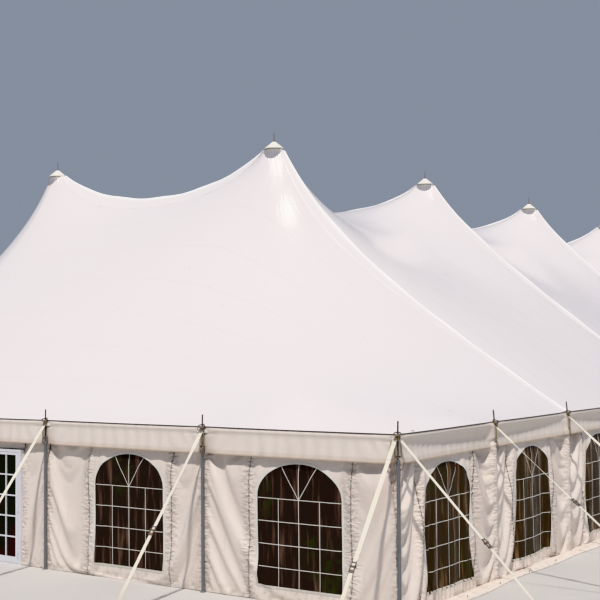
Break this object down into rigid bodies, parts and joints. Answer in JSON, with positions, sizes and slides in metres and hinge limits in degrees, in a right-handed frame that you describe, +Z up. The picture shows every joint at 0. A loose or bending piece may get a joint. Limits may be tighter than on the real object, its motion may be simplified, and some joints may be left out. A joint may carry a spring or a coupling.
{
  "type": "pole-supported marquee tent",
  "caption": "Rectangular event marquee: tensioned white membrane roof on two rows of centre poles, guyed side poles, valance, walls with arched windows and a glazed double door",
  "frame": {"origin": "on the ground, at the middle of the plan", "axes": "+X across the tent towards its right long side, +Y along its length towards the back end, +Z up; the end wall with the door faces -Y"},
  "size_m": [24.525, 35.725, 8.1203],
  "materials": {
    "roof_membrane": "satin white PVC-coated polyester",
    "cap_fabric": "white coated fabric weather cap",
    "aluminium_pole": "dull mill-finish aluminium tube with steel pin and cable",
    "guy_webbing": "cream woven polyester webbing",
    "valance_fabric": "white coated fabric with a tan hem",
    "wall_fabric": "off-white coated fabric, creased",
    "window_film": "clear soft vinyl window film, dark inside",
    "door_paint": "white painted frame",
    "door_glass": "flat clear glass, dark inside"
  },
  "bodies": {
    "root": {"roof_front_end": "roof_membrane", "roof_middle_1": "roof_membrane", "roof_middle_2": "roof_membrane", "roof_middle_3": "roof_membrane", "roof_back_end": "roof_membrane", "centre_pole_1": "aluminium_pole", "centre_pole_2": "aluminium_pole", "centre_pole_3": "aluminium_pole", "centre_pole_4": "aluminium_pole", "centre_pole_5": "aluminium_pole", "centre_pole_6": "aluminium_pole", "centre_pole_7": "aluminium_pole", "centre_pole_8": "aluminium_pole", "peak_cap_1": "cap_fabric", "peak_cap_2": "cap_fabric", "peak_cap_3": "cap_fabric", "peak_cap_4": "cap_fabric", "peak_cap_5": "cap_fabric", "peak_cap_6": "cap_fabric", "peak_cap_7": "cap_fabric", "peak_cap_8": "cap_fabric", "side_poles_front": "aluminium_pole", "side_poles_back": "aluminium_pole", "side_poles_left": "aluminium_pole", "side_poles_right": "aluminium_pole", "guys_front": "guy_webbing", "guys_back": "guy_webbing", "guys_left": "guy_webbing", "guys_right": "guy_webbing", "valance_front": "valance_fabric", "valance_back": "valance_fabric", "valance_left": "valance_fabric", "valance_right": "valance_fabric", "front_wall_left": "wall_fabric", "front_wall_right": "wall_fabric", "front_wall_over_door": "wall_fabric", "back_wall": "wall_fabric", "left_wall": "wall_fabric", "right_wall": "wall_fabric", "window_film_front_left": "window_film", "window_film_front_right": "window_film", "window_film_back": "window_film", "window_film_left": "window_film", "window_film_right": "window_film", "door_frame": "door_paint"},
    "left_leaf": {"door_leaf_left": "door_paint", "door_glass_left": "door_glass"},
    "right_leaf": {"door_leaf_right": "door_paint", "door_glass_right": "door_glass"}
  },
  "joints": [
    {"name": "left_leaf_hinge", "type": "hinge", "parent": "root", "child": "left_leaf", "pos_m": [0.4025, -15.9134, 0.95], "axis": [0, 0, -1], "range_deg": [0, 90]},
    {"name": "right_leaf_hinge", "type": "hinge", "parent": "root", "child": "right_leaf", "pos_m": [2.1475, -15.9134, 0.95], "axis": [0, 0, 1], "range_deg": [0, 90]}
  ]
}
